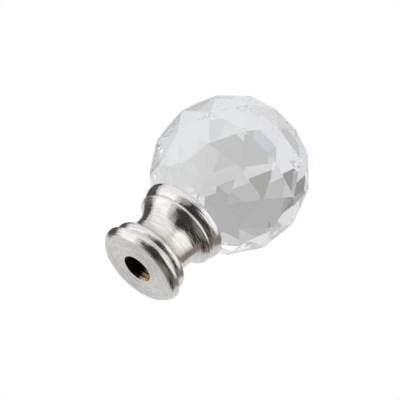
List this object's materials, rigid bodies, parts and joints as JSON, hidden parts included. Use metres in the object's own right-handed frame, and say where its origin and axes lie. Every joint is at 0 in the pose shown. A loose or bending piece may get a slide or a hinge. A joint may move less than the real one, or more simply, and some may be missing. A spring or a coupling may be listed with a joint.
{
  "type": "lamp shade finial",
  "caption": "Faceted clear crystal ball on a turned brushed metal spool with a tapped hole underneath, screwed onto a lamp harp to hold the shade down.",
  "frame": {"origin": "middle of the base's flat underside, at the mouth of the tapped hole", "axes": "+Z along the screw axis, from the flat underside towards the ball; a column of facet corners on the ball faces +X"},
  "size_m": [0.03, 0.03, 0.0407],
  "materials": {
    "clear_crystal": "clear crystal, cut in polished flat facets",
    "brushed_nickel": "brushed nickel plate with fine turning lines, bare brass thread inside the hole"
  },
  "bodies": {
    "root": {"crystal_ball": "clear_crystal", "turned_base": "brushed_nickel"}
  },
  "joints": []
}
